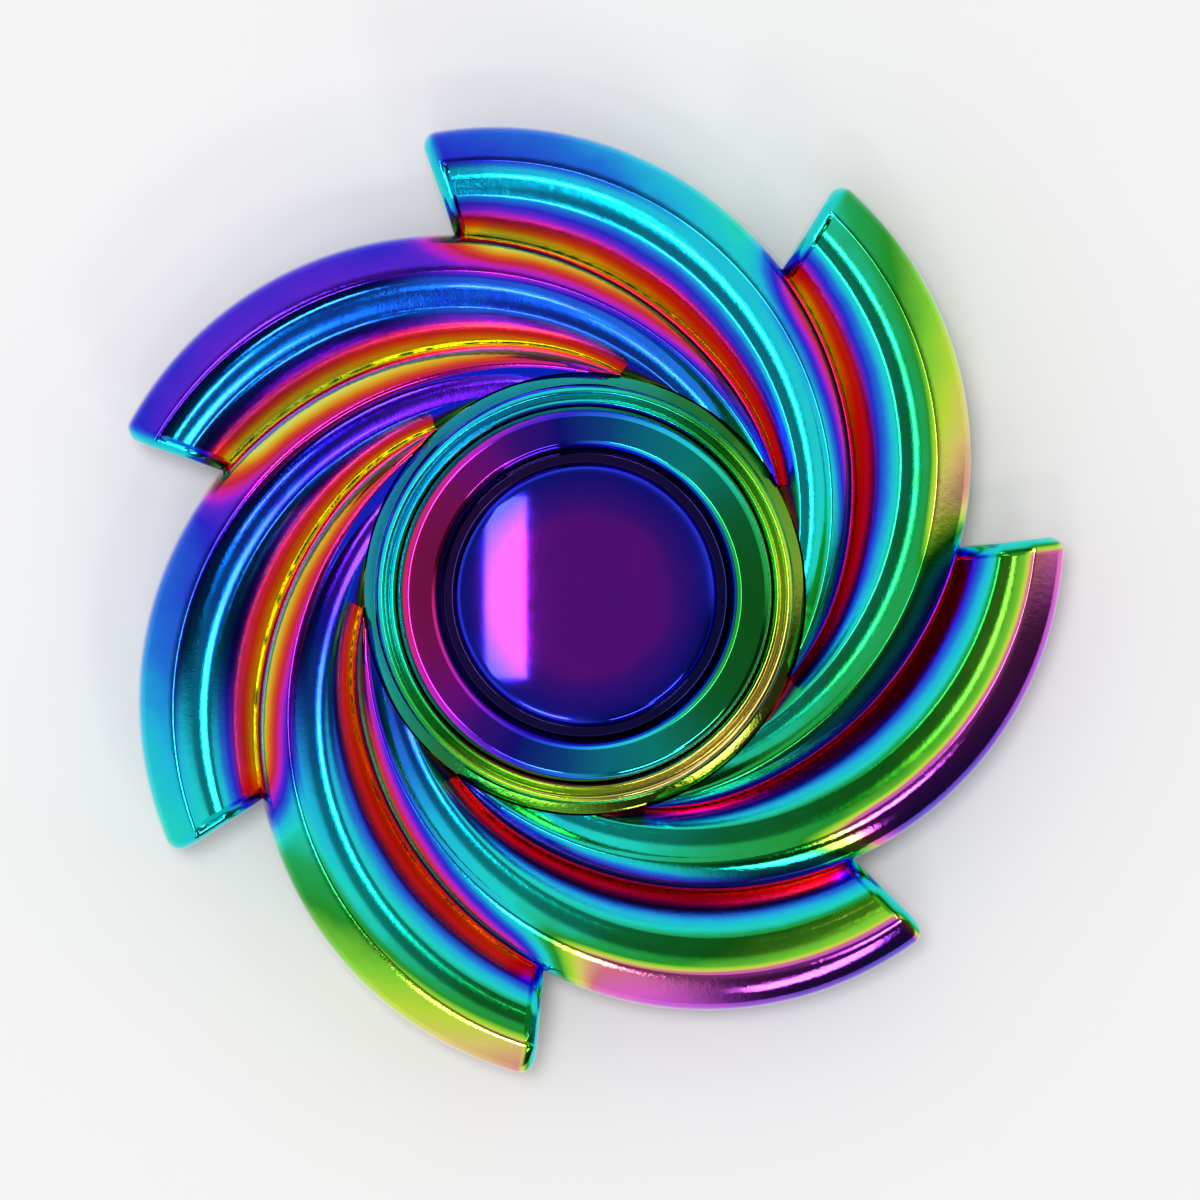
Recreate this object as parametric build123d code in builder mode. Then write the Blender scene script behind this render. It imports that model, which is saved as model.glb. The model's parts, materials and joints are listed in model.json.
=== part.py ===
"""Seven-blade fidget spinner: cast blade body, shielded miniature ball bearing and two finger caps.

Millimetres, +Z up. The origin is the centre of the bearing, on the spin axis and on the mid plane.
Each blade starts at a radial end face and trails clockwise into the hub, seen from above.
"""

from build123d import *
import os
from math import cos, degrees, hypot, radians, sin, sqrt, tan

os.makedirs("parts", exist_ok=True)

# ---------------------------------------------------------------- driving dimensions
# Blade ring
spinner_diameter = 60.0  # circle through the blade tips' outer corners
blade_count = 7
first_tip_angle = 6.9  # rest angle of the first blade's end face, from +X
tip_ridge_height = 2.9  # mid plane to ridge crest at the tips
root_ridge_height = 4.0  # mid plane to ridge crest at the hub
blade_sweep = 130.0  # angle a blade trails through before it is lost in the hub
section_count = 16  # cross-sections along a blade

# Plan lines of a blade are circular arcs, as shares of the spinner's radius: centre X and Y, then
# the arc's own radius, for a blade whose end face lies along +X
edge_arc = (0.2690, 0.0947, 0.7453)
ridge_arc = (0.2407, 0.1287, 0.7100)
step_arc = (0.2287, 0.1483, 0.6633)
root_tuck = 0.65  # how far the outer edge pulls in where it meets the hub
root_tuck_start = 100.0  # trailing angle at which that starts
root_tuck_end = 133.0

# Blade cross-section
shoulder_width = 0.75
shoulder_share = 0.42  # largest part of the outer band that the shoulder takes
side_swell = (0.10, 0.36)  # the side, as shares of shoulder width in from the edge and of height
shoulder_swell = (0.45, 0.68)
band_start_swell = (0.12, 0.865)  # shares of band width in from the shoulder and of height
band_swell = (0.40, 0.955)
crest_slope = 0.04  # fall of the outer band where it reaches the crest
crest_dip = 0.02
crest_round = 0.15
crest_wall_width = 0.38
crest_wall_drop = 0.46
floor_sag = 0.12
blade_root_overlap = 0.4  # how far the blade roots run into the rim
valley_tilt = 60.0  # slope of the inner flank where it meets the next blade
root_flank = 0.9  # shortest inner flank, at the hub
inner_land = 0.25  # half thickness of the buried inner edge
corner_turns = (0, 18, 36, 54, 72, 90)  # cross-sections round the tip corner, in degrees of turn
end_round = 0.65  # rounding of the end face's upper and lower edges
tip_corner = 1.10  # rounding of the tip corner in plan

# Hub
hub_valley_height = 3.20
hub_valley_width = 0.80  # from the rim to the circle that the blade roots end on
hub_core_width = 0.50  # the solid hub beyond the rim
rim_width = 1.34
rim_height = 4.75
rim_bead_foot = 4.40  # height where the rim's rounded beads start
rim_bead_width = 0.56  # inner bead; the outer one takes the rest of the rim
rim_groove_depth = 0.20
rim_groove_width = 0.16
cap_gap = 0.16  # radial gap between finger cap and rim
cap_lift = 0.35  # axial gap between finger cap and hub web
seat_lip = 0.45  # height of the shoulder that the bearing stands on
seat_lip_width = 0.40

# Bearing, inch size with 1/4 in bore, 1/2 in outside diameter and 3/16 in width
bearing_bore = 6.350
bearing_outside = 12.700
bearing_width = 4.762
ball_count = 10
ball_diameter = 1.588
ball_pitch_diameter = 9.525
inner_land_diameter = 8.50
outer_land_diameter = 10.54
raceway_clearance = 0.02
race_chamfer = 0.15
ribbon_thickness = 0.15
ribbon_side_gap = 0.17
pocket_clearance = 0.03
shield_thickness = 0.15
shield_bore_gap = 0.15
shield_seat_diameter = 11.72
shield_seat_depth = 0.43
shield_fit = 0.03
wire_diameter = 0.20
wire_gap_angle = 14.0
wire_fit = 0.015

# Finger caps
cap_diameter = 22.80
cap_land_height = 5.80  # mid plane to the flat land that the object rests on
cap_edge_round = 0.50
land_width = 2.00
land_bevel_width = 0.25
land_bevel_round = 0.35
land_bevel_drop = 0.35
moat_width = 1.05  # between the dome and the bevel of the land
moat_taper = 0.40
moat_depth = 1.45
dome_edge_drop = 0.75
dome_sink = 0.06  # dome apex below the land
dome_edge_round = 0.45
boss_diameter = 7.80
spigot_fit = 0.012  # radial clearance of the spigot in the bearing bore
spigot_end_gap = 0.15
upper_spigot_length = 0.80
brim_chamfer = 0.20
boss_chamfer = 0.15
screw_diameter = 4.00
screw_fit = 0.03
screw_tip_gap = 0.35
screw_chamfer = 0.30

# ---------------------------------------------------------------- derived sizes
blade_pitch = 360 / blade_count
bearing_half = bearing_width / 2
pitch_radius = ball_pitch_diameter / 2
ball_radius = ball_diameter / 2
raceway_radius = ball_radius + raceway_clearance
inner_land_radius = inner_land_diameter / 2
outer_land_radius = outer_land_diameter / 2
web_height = bearing_half + seat_lip
cap_radius = cap_diameter / 2
land_inner_radius = cap_radius - land_width
moat_outer_radius = land_inner_radius - land_bevel_width
dome_radius = moat_outer_radius - moat_width
rim_inner_radius = cap_radius + cap_gap
rim_outer_radius = rim_inner_radius + rim_width
hub_core_radius = rim_outer_radius + hub_core_width
hub_valley_radius = rim_outer_radius + hub_valley_width
cap_underside = web_height + cap_lift
spigot_radius = bearing_bore / 2 - spigot_fit
shield_seat_radius = shield_seat_diameter / 2
shield_floor = bearing_half - shield_seat_depth
wire_centre_height = shield_floor + shield_thickness + wire_diameter / 2 + wire_fit
wire_centre_radius = shield_seat_radius - wire_diameter / 4


def save(builder, name):
    """Label a finished sub-part and write its STEP file."""
    builder.part.label = name
    export_step(builder.part, f"parts/{name}.step")


def rims_at(builder, radius, height):
    """The circular edges of this radius and height on a part being built."""
    rims = builder.edges().filter_by(GeomType.CIRCLE)
    rims = rims.filter_by(lambda rim: abs(rim.radius - radius) < 0.001)
    return rims.filter_by(lambda rim: abs(rim.arc_center.Z - height) < 0.001)


# ---------------------------------------------------------------- blade body
def arc_reach(arc, angle):
    """Distance from the spin axis to a plan arc, along the ray at this angle."""
    x, y, radius = (share * spinner_diameter / 2 for share in arc)
    along = x * cos(radians(angle)) + y * sin(radians(angle))
    across = hypot(x, y) ** 2 - along**2
    return along + sqrt(radius**2 - across)


def edge_reach(angle):
    """Radius of a blade's outer edge at this angle from its end face (negative is trailing)."""
    tuck = max(0.0, -angle - root_tuck_start) / (root_tuck_end - root_tuck_start)
    return arc_reach(edge_arc, angle) - root_tuck * tuck**3


def corner_inset(distance, rounding):
    """How far a quarter-round corner has drawn a surface in at this distance from the end face."""
    if distance >= rounding:
        return 0.0
    return rounding - sqrt(rounding**2 - (rounding - distance) ** 2)


def blade_outline(angle, distance_from_end):
    """Closed half of a blade's cross-section, above the mid plane, as (radius, height) pieces."""
    ridge = arc_reach(ridge_arc, angle)
    edge = edge_reach(angle) - corner_inset(distance_from_end, tip_corner)
    step = arc_reach(step_arc, angle)
    next_edge = edge_reach(max(angle - blade_pitch, -root_tuck_end))
    seam = min(next_edge, step - root_flank)
    crest = tip_ridge_height + (root_ridge_height - tip_ridge_height) * (-angle / blade_sweep)
    squash = 1 - corner_inset(distance_from_end, end_round) / crest
    band = edge - ridge
    shoulder = min(shoulder_width, shoulder_share * band)
    foot = crest - crest_wall_drop - crest_round / 2
    tilt = radians(valley_tilt)
    flank_radius = (step - seam) / sin(tilt)
    seam_height = foot - flank_radius * (1 - cos(tilt))
    flank_middle = (step - flank_radius * sin(tilt / 2), foot - flank_radius * (1 - cos(tilt / 2)))
    buried = seam - (seam_height - inner_land) / tan(tilt)
    floor_start = ridge - crest_round - crest_wall_width
    points = {
        "edge": (edge, 0),
        "side": (edge - side_swell[0] * shoulder, side_swell[1] * crest),
        "shoulder": (edge - shoulder_swell[0] * shoulder, shoulder_swell[1] * crest),
        "band_start": (edge - shoulder - band_start_swell[0] * band, band_start_swell[1] * crest),
        "band": (ridge + band_swell[0] * (band - shoulder), band_swell[1] * crest),
        "crest_outer": (ridge + crest_round, crest - crest_dip),
        "crest": (ridge, crest - crest_dip / 2),
        "crest_inner": (ridge - crest_round, crest - crest_round / 2),
        "floor_start": (floor_start, foot),
        "floor": ((floor_start + step) / 2, foot - floor_sag),
        "step": (step, foot),
        "flank": flank_middle,
        "seam": (seam, seam_height),
        "buried": (buried, inner_land),
    }
    return {name: (radius, height * squash) for name, (radius, height) in points.items()}


def section_plane(angle):
    """Vertical plane through the spin axis, X outwards and Y up."""
    outwards = (cos(radians(angle)), sin(radians(angle)), 0)
    sideways = (sin(radians(angle)), -cos(radians(angle)), 0)
    return Plane(origin=(0, 0, 0), x_dir=outwards, z_dir=sideways)


def upper_section(angle, distance_from_end):
    """The part of a blade's cross-section above the mid plane, as a face on its own radial plane."""
    p = blade_outline(angle, distance_from_end)
    outside = [p["edge"], p["side"], p["shoulder"], p["band_start"], p["band"], p["crest_outer"]]
    with BuildSketch(section_plane(angle)) as section:
        with BuildLine():
            Spline(*outside, tangents=[(0, 1), (-1, crest_slope)])
            ThreePointArc(p["crest_outer"], p["crest"], p["crest_inner"])
            Line(p["crest_inner"], p["floor_start"])
            ThreePointArc(p["floor_start"], p["floor"], p["step"])
            ThreePointArc(p["step"], p["flank"], p["seam"])
            Polyline(p["seam"], p["buried"], (p["buried"][0], 0), p["edge"])
        make_face()
    return section.sketch.face()


tip_radius = edge_reach(0)
corner_steps = [tip_corner * (1 - cos(radians(turn))) for turn in corner_turns]
corner_end_angle = -degrees(tip_corner / tip_radius)
section_step = (blade_sweep + corner_end_angle) / (section_count - 1)
arm_angles = [corner_end_angle - index * section_step for index in range(section_count)]

with BuildPart() as blade_tip:
    loft([upper_section(-degrees(distance / tip_radius), distance) for distance in corner_steps])

with BuildPart() as blade:
    loft([upper_section(angle, tip_corner) for angle in arm_angles])
    add(blade_tip.part)
    # Clear the blade's root from the hub, and let it end in the valley round the rim
    Cylinder(rim_outer_radius - blade_root_overlap, 3 * root_ridge_height, mode=Mode.SUBTRACT)
    with Locations((0, 0, hub_valley_height)):
        Cylinder(
            hub_valley_radius,
            root_ridge_height,
            align=(Align.CENTER, Align.CENTER, Align.MIN),
            mode=Mode.SUBTRACT,
        )

with BuildPart() as blade_body:
    with PolarLocations(0, blade_count, start_angle=first_tip_angle):
        add(blade.part)
    mirror(about=Plane.XY)
    # Hub disc with its two-bead rim, the same above and below
    groove_start = rim_inner_radius + rim_bead_width
    groove_end = groove_start + rim_groove_width
    groove_height = rim_height - rim_groove_depth
    with BuildSketch(Plane.XZ):
        with BuildLine():
            Polyline(
                (0, 0),
                (0, web_height),
                (rim_inner_radius, web_height),
                (rim_inner_radius, rim_bead_foot),
            )
            ThreePointArc(
                (rim_inner_radius, rim_bead_foot),
                ((rim_inner_radius + groove_start) / 2, rim_height),
                (groove_start, groove_height),
            )
            Line((groove_start, groove_height), (groove_end, groove_height))
            ThreePointArc(
                (groove_end, groove_height),
                ((groove_end + rim_outer_radius) / 2, rim_height),
                (rim_outer_radius, rim_bead_foot),
            )
            Polyline(
                (rim_outer_radius, rim_bead_foot),
                (rim_outer_radius, hub_valley_height),
                (hub_core_radius, hub_valley_height),
                (hub_core_radius, 0),
                (0, 0),
            )
        make_face()
        mirror(about=Plane.XZ)
    revolve(axis=Axis.Z)
    # Bearing seat, open above, with a shoulder below
    with Locations((0, 0, -bearing_half)):
        Cylinder(
            bearing_outside / 2,
            2 * bearing_width,
            align=(Align.CENTER, Align.CENTER, Align.MIN),
            mode=Mode.SUBTRACT,
        )
    Cylinder(bearing_outside / 2 - seat_lip_width, 4 * bearing_width, mode=Mode.SUBTRACT)
save(blade_body, "blade_body")


# ---------------------------------------------------------------- bearing races
with BuildPart() as bearing_outer_race:
    with BuildSketch(Plane.XZ):
        with Locations((outer_land_radius, 0)):
            Rectangle(
                bearing_outside / 2 - outer_land_radius, bearing_width, align=(Align.MIN, Align.CENTER)
            )
        with Locations((pitch_radius, 0)):
            Circle(raceway_radius, mode=Mode.SUBTRACT)
        for side in (1, -1):
            with Locations((0, side * (shield_floor + bearing_half) / 2)):
                Rectangle(
                    shield_seat_radius,
                    bearing_half - shield_floor,
                    align=(Align.MIN, Align.CENTER),
                    mode=Mode.SUBTRACT,
                )
            with Locations((wire_centre_radius, side * wire_centre_height)):
                Circle(wire_diameter / 2 + wire_fit, mode=Mode.SUBTRACT)
    revolve(axis=Axis.Z)
    for height in (bearing_half, -bearing_half):
        chamfer(rims_at(bearing_outer_race, bearing_outside / 2, height), race_chamfer)
save(bearing_outer_race, "bearing_outer_race")

with BuildPart() as bearing_inner_race:
    with BuildSketch(Plane.XZ):
        with Locations((bearing_bore / 2, 0)):
            Rectangle(
                inner_land_radius - bearing_bore / 2, bearing_width, align=(Align.MIN, Align.CENTER)
            )
        with Locations((pitch_radius, 0)):
            Circle(raceway_radius, mode=Mode.SUBTRACT)
    revolve(axis=Axis.Z)
    for height in (bearing_half, -bearing_half):
        chamfer(rims_at(bearing_inner_race, bearing_bore / 2, height), race_chamfer)
save(bearing_inner_race, "bearing_inner_race")


# ---------------------------------------------------------------- balls and ribbon cage
for ball_number in range(ball_count):
    ball_angle = radians(ball_number * 360 / ball_count)
    with BuildPart() as ball:
        with Locations((pitch_radius * cos(ball_angle), pitch_radius * sin(ball_angle), 0)):
            Sphere(ball_radius)
    save(ball, f"ball_{ball_number + 1:02d}")

pocket_radius = ball_radius + pocket_clearance
ribbon_inner_radius = inner_land_radius + ribbon_side_gap
ribbon_outer_radius = outer_land_radius - ribbon_side_gap
for name, kept_half in (("cage_upper_half", Keep.TOP), ("cage_lower_half", Keep.BOTTOM)):
    with BuildPart() as cage_half:
        Cylinder(ribbon_outer_radius, 2 * ribbon_thickness)
        with PolarLocations(pitch_radius, ball_count):
            Sphere(pocket_radius + ribbon_thickness)
        Cylinder(ribbon_outer_radius, 4 * ball_radius, mode=Mode.INTERSECT)
        Cylinder(ribbon_inner_radius, 4 * ball_radius, mode=Mode.SUBTRACT)
        with PolarLocations(pitch_radius, ball_count):
            Sphere(pocket_radius, mode=Mode.SUBTRACT)
        split(bisect_by=Plane.XY, keep=kept_half)
    save(cage_half, name)


# ---------------------------------------------------------------- shields and their snap wires
shield_outer_radius = shield_seat_radius - shield_fit
shield_inner_radius = inner_land_radius + shield_bore_gap
for name, side in (("upper_shield", 1), ("lower_shield", -1)):
    with BuildPart() as shield:
        with BuildSketch(Plane.XZ):
            with Locations((shield_inner_radius, side * (shield_floor + shield_thickness / 2))):
                Rectangle(
                    shield_outer_radius - shield_inner_radius,
                    shield_thickness,
                    align=(Align.MIN, Align.CENTER),
                )
            # Rolled lip round the bore, towards the balls
            with Locations((shield_inner_radius, side * shield_floor)):
                Rectangle(shield_thickness, 2 * shield_thickness, align=(Align.MIN, Align.CENTER))
        revolve(axis=Axis.Z)
    save(shield, name)

for name, side in (("upper_snap_wire", 1), ("lower_snap_wire", -1)):
    with BuildPart() as snap_wire:
        with BuildSketch(Plane.XZ):
            with Locations((wire_centre_radius, side * wire_centre_height)):
                Circle(wire_diameter / 2)
        revolve(axis=Axis.Z, revolution_arc=360 - wire_gap_angle)
    save(snap_wire, name)


# ---------------------------------------------------------------- finger caps
def cap_section(side):
    """Half section of a finger cap, with its button facing up (side 1) or down (side -1)."""
    apex = cap_land_height - dome_sink
    moat_floor = cap_land_height - moat_depth
    with BuildSketch(Plane.XZ) as section:
        with BuildLine():
            TangentArc((0, apex), (dome_radius, apex - dome_edge_drop), tangent=(1, 0))
            Polyline(
                (dome_radius, apex - dome_edge_drop),
                (dome_radius, moat_floor),
                (moat_outer_radius - moat_taper, moat_floor),
                (moat_outer_radius, cap_land_height - land_bevel_drop),
                (land_inner_radius, cap_land_height),
                (cap_radius, cap_land_height),
                (cap_radius, cap_underside),
                (boss_diameter / 2, cap_underside),
                (boss_diameter / 2, bearing_half),
                (0, bearing_half),
                (0, apex),
            )
        make_face()
        if side < 0:
            mirror(about=Plane.XZ, mode=Mode.REPLACE)
    return section.sketch


def round_cap(builder, side):
    """Round the edges of a finger cap that a thumb meets, and break its lower edges."""
    dome_edge_height = cap_land_height - dome_sink - dome_edge_drop
    fillet(rims_at(builder, dome_radius, side * dome_edge_height), dome_edge_round)
    fillet(rims_at(builder, land_inner_radius, side * cap_land_height), land_bevel_round)
    fillet(rims_at(builder, cap_radius, side * cap_land_height), cap_edge_round)
    chamfer(rims_at(builder, cap_radius, side * cap_underside), brim_chamfer)
    chamfer(rims_at(builder, boss_diameter / 2, side * bearing_half), boss_chamfer)


joint_height = bearing_half - upper_spigot_length  # where the upper cap's spigot ends
socket_bottom = -cap_underside
downwards = (Align.CENTER, Align.CENTER, Align.MAX)
upwards = (Align.CENTER, Align.CENTER, Align.MIN)

with BuildPart() as top_cap:
    add(cap_section(1))
    revolve(axis=Axis.Z)
    round_cap(top_cap, 1)
    with Locations((0, 0, bearing_half)):
        Cylinder(spigot_radius, upper_spigot_length, align=downwards)
    with Locations((0, 0, joint_height)):
        Cylinder(screw_diameter / 2, joint_height - socket_bottom - screw_tip_gap, align=downwards)
    chamfer(rims_at(top_cap, screw_diameter / 2, socket_bottom + screw_tip_gap), screw_chamfer)
save(top_cap, "top_cap")

with BuildPart() as bottom_cap:
    add(cap_section(-1))
    revolve(axis=Axis.Z)
    round_cap(bottom_cap, -1)
    spigot_end = joint_height - spigot_end_gap
    with Locations((0, 0, -bearing_half)):
        Cylinder(spigot_radius, spigot_end + bearing_half, align=upwards)
    with Locations((0, 0, socket_bottom)):
        Cylinder(
            screw_diameter / 2 + screw_fit, spigot_end - socket_bottom, align=upwards, mode=Mode.SUBTRACT
        )
    chamfer(rims_at(bottom_cap, screw_diameter / 2 + screw_fit, spigot_end), screw_chamfer)
save(bottom_cap, "bottom_cap")
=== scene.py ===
"""Looks of the seven-blade fidget spinner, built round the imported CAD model."""

import json
import logging
import math
from dataclasses import dataclass, field
from enum import Enum
from typing import Callable, Iterable, Sequence

import bmesh
import bpy
import numpy as np
from mathutils import Matrix, Vector

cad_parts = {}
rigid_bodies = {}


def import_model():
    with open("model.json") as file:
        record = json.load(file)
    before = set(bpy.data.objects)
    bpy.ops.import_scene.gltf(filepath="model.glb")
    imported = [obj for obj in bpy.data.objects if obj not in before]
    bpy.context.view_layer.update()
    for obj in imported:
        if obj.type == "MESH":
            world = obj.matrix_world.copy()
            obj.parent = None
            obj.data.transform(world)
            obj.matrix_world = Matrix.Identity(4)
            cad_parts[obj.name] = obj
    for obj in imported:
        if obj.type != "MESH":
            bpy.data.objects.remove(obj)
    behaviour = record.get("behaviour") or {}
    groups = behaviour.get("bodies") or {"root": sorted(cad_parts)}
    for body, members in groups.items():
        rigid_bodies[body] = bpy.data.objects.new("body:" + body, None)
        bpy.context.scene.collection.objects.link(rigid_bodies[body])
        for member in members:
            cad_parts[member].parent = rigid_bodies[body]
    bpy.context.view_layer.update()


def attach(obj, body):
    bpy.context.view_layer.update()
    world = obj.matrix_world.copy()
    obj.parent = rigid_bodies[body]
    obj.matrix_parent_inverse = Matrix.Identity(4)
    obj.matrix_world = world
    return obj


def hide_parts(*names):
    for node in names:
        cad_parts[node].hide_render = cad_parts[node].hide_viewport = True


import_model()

LOG = logging.getLogger("spinner")
MM = 0.001
WELD = 2e-6

# Numbers stored on each vertex, which the rainbow film reads.
FILM = "film"
GRAIN = "grain"
# SHADE holds painted shade: how far seams, recesses and valleys are darkened.
SHADE = "shade"

Point = tuple[float, float]
Triple = tuple[float, float, float]


# ---------------------------------------------------------------- small helpers
def start_fresh() -> None:
    """Leave edit mode and deselect everything, so that an operator acts on its own piece only."""
    if bpy.context.object and bpy.context.object.mode != "OBJECT":
        bpy.ops.object.mode_set(mode="OBJECT")
    bpy.ops.object.select_all(action="DESELECT")


def make_active(piece: bpy.types.Object) -> None:
    """Make one object the only selected and active one."""
    start_fresh()
    piece.select_set(True)
    bpy.context.view_layer.objects.active = piece


def in_edit_mode(piece: bpy.types.Object, work: Callable[[], None]) -> None:
    """Run edit-mode operators on all of a piece.

    Args:
        piece: The object to edit.
        work: The operators to run, with everything selected.
    """
    make_active(piece)
    bpy.ops.object.mode_set(mode="EDIT")
    bpy.ops.mesh.select_all(action="SELECT")
    work()
    bpy.ops.object.mode_set(mode="OBJECT")


def join(pieces: Sequence[bpy.types.Object], name: str) -> bpy.types.Object:
    """Join pieces into the first one and give it a name.

    Args:
        pieces: The objects to join.
        name: The joined object's name.

    Returns:
        The joined object.
    """
    start_fresh()
    for piece in pieces:
        piece.select_set(True)
    bpy.context.view_layer.objects.active = pieces[0]
    bpy.ops.object.join()
    pieces[0].name = name
    return pieces[0]


def smooth_step(value: float, low: float, high: float) -> float:
    """A soft ramp from 0 to 1.

    Args:
        value: The value to place on the ramp.
        low: Where the ramp starts to rise.
        high: Where it has reached 1.

    Returns:
        The ramp's height at the value.
    """
    t = min(1.0, max(0.0, (value - low) / (high - low)))
    return t * t * (3.0 - 2.0 * t)


def linear(colour: str) -> tuple[float, float, float, float]:
    """Turn a display colour into the one that shaders take.

    Args:
        colour: The display colour, written as RRGGBB.

    Returns:
        The same colour as linear red, green, blue and alpha.
    """
    parts = [int(colour[i : i + 2], 16) / 255 for i in (0, 2, 4)]
    red, green, blue = (c / 12.92 if c <= 0.04045 else ((c + 0.055) / 1.055) ** 2.4 for c in parts)
    return (red, green, blue, 1.0)


def clamped_spline(
    points: np.ndarray, first: np.ndarray, last: np.ndarray
) -> Callable[[np.ndarray], np.ndarray]:
    """A smooth cubic through points, with given directions at its ends.

    Args:
        points: Points to pass through, one row each.
        first: Tangent at the first point, scaled to unit speed.
        last: Tangent at the last point, scaled to unit speed.

    Returns:
        A function from parameters in 0 to 1 to points.
    """
    knots = np.concatenate([[0.0], np.cumsum(np.linalg.norm(np.diff(points, axis=0), axis=1))])
    count = len(points)
    gaps = np.diff(knots)
    matrix = np.eye(count)
    right = np.zeros_like(points)
    right[0] = first
    right[-1] = last
    for i in range(1, count - 1):
        matrix[i, i - 1] = gaps[i]
        matrix[i, i] = 2 * (gaps[i - 1] + gaps[i])
        matrix[i, i + 1] = gaps[i - 1]
        before = (points[i] - points[i - 1]) / gaps[i - 1]
        after = (points[i + 1] - points[i]) / gaps[i]
        right[i] = 3 * (gaps[i] * before + gaps[i - 1] * after)
    slopes = np.linalg.solve(matrix, right)

    def at(parameters: np.ndarray) -> np.ndarray:
        """Points of the curve at these parameters."""
        places = np.clip(parameters, 0, 1) * knots[-1]
        spans = np.clip(np.searchsorted(knots, places, side="right") - 1, 0, count - 2)
        t = ((places - knots[spans]) / gaps[spans])[:, None]
        gap = gaps[spans][:, None]
        start = points[spans] * (2 * t**3 - 3 * t**2 + 1) + gap * slopes[spans] * (t**3 - 2 * t**2 + t)
        end = points[spans + 1] * (3 * t**2 - 2 * t**3) + gap * slopes[spans + 1] * (t**3 - t**2)
        return start + end

    return at


def arc_through(start: Point, middle: Point, end: Point, t: np.ndarray) -> np.ndarray:
    """A shallow parabolic arc through three points.

    Args:
        start: Where the arc starts.
        middle: The point it passes half way.
        end: Where it ends.
        t: Fractions of the arc, from 0 to 1.

    Returns:
        One point for each fraction.
    """
    a, b, c = (np.array(p) for p in (start, middle, end))
    bow = b - (a + c) / 2
    return a + (c - a) * t[:, None] + bow * (4 * t * (1 - t))[:, None]


def rounded(corners: Sequence[Triple], steps: int = 8) -> list[Point]:
    """A path with its corners rounded.

    Args:
        corners: Corner points as (radius, height, rounding).
        steps: Points in each rounding.

    Returns:
        The path's points.
    """
    path: list[Point] = []
    for index, (x, y, rounding) in enumerate(corners):
        if rounding == 0.0:
            path.append((x, y))
            continue
        here = np.array((x, y))
        back = np.array(corners[index - 1][:2]) - here
        ahead = np.array(corners[index + 1][:2]) - here
        back /= np.linalg.norm(back)
        ahead /= np.linalg.norm(ahead)
        half = math.acos(float(np.clip(back @ ahead, -1, 1))) / 2
        centre = here + (back + ahead) / np.linalg.norm(back + ahead) * rounding / math.sin(half)
        start = here + back * rounding / math.tan(half) - centre
        end = here + ahead * rounding / math.tan(half) - centre
        swing = math.pi - 2 * half
        for t in np.linspace(0, 1, steps):
            mix = (math.sin((1 - t) * swing) * start + math.sin(t * swing) * end) / math.sin(swing)
            path.append(tuple(centre + mix))
    return path


def lathe(profile: Sequence[Point], name: str, segments: int = 256) -> bpy.types.Object:
    """Spin a closed half section round the spin axis.

    Args:
        profile: Points as (radius, height) in millimetres, in order.
        name: The object's name.
        segments: Steps in a full turn.

    Returns:
        The turned object.
    """
    start_fresh()
    bpy.ops.mesh.primitive_circle_add(vertices=len(profile), radius=0.01, fill_type="NOTHING")
    piece = bpy.context.object
    piece.name = name
    places = np.array([(radius, 0.0, height) for radius, height in profile]) * MM
    piece.data.vertices.foreach_set("co", places.ravel())

    def turn() -> None:
        """Spin the section and weld its start to its end."""
        bpy.ops.mesh.spin(steps=segments, angle=2 * math.pi, center=(0, 0, 0), axis=(0, 0, 1))
        bpy.ops.mesh.select_all(action="SELECT")
        bpy.ops.mesh.remove_doubles(threshold=WELD)
        bpy.ops.mesh.dissolve_degenerate(threshold=1e-7)

    in_edit_mode(piece, turn)
    return piece


def write_layer(piece: bpy.types.Object, name: str, values: Sequence[float]) -> None:
    """Store one number per vertex.

    Args:
        piece: The object.
        name: The attribute's name.
        values: The numbers, in vertex order, kept within 0 to 1.
    """
    layer = piece.data.attributes.new(name, "FLOAT", "POINT")
    layer.data.foreach_set("value", np.clip(values, 0.0, 1.0))


def paint(piece: bpy.types.Object, film: Callable[[float, float, float], float]) -> None:
    """Store the film of every vertex of a turned piece.

    Args:
        piece: The object.
        film: Gives the film from the radius in millimetres, the angle in degrees and the height.
    """
    values = []
    for vertex in piece.data.vertices:
        x, y, z = vertex.co / MM
        values.append(film(math.hypot(x, y), math.degrees(math.atan2(y, x)), z))
    write_layer(piece, FILM, values)


# ---------------------------------------------------------------- finishes
class Slot(Enum):
    """Names for the material slots of the pieces modelled here; the script does not use them."""

    BODY = "body_film"
    CAP = "cap_film"


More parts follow.
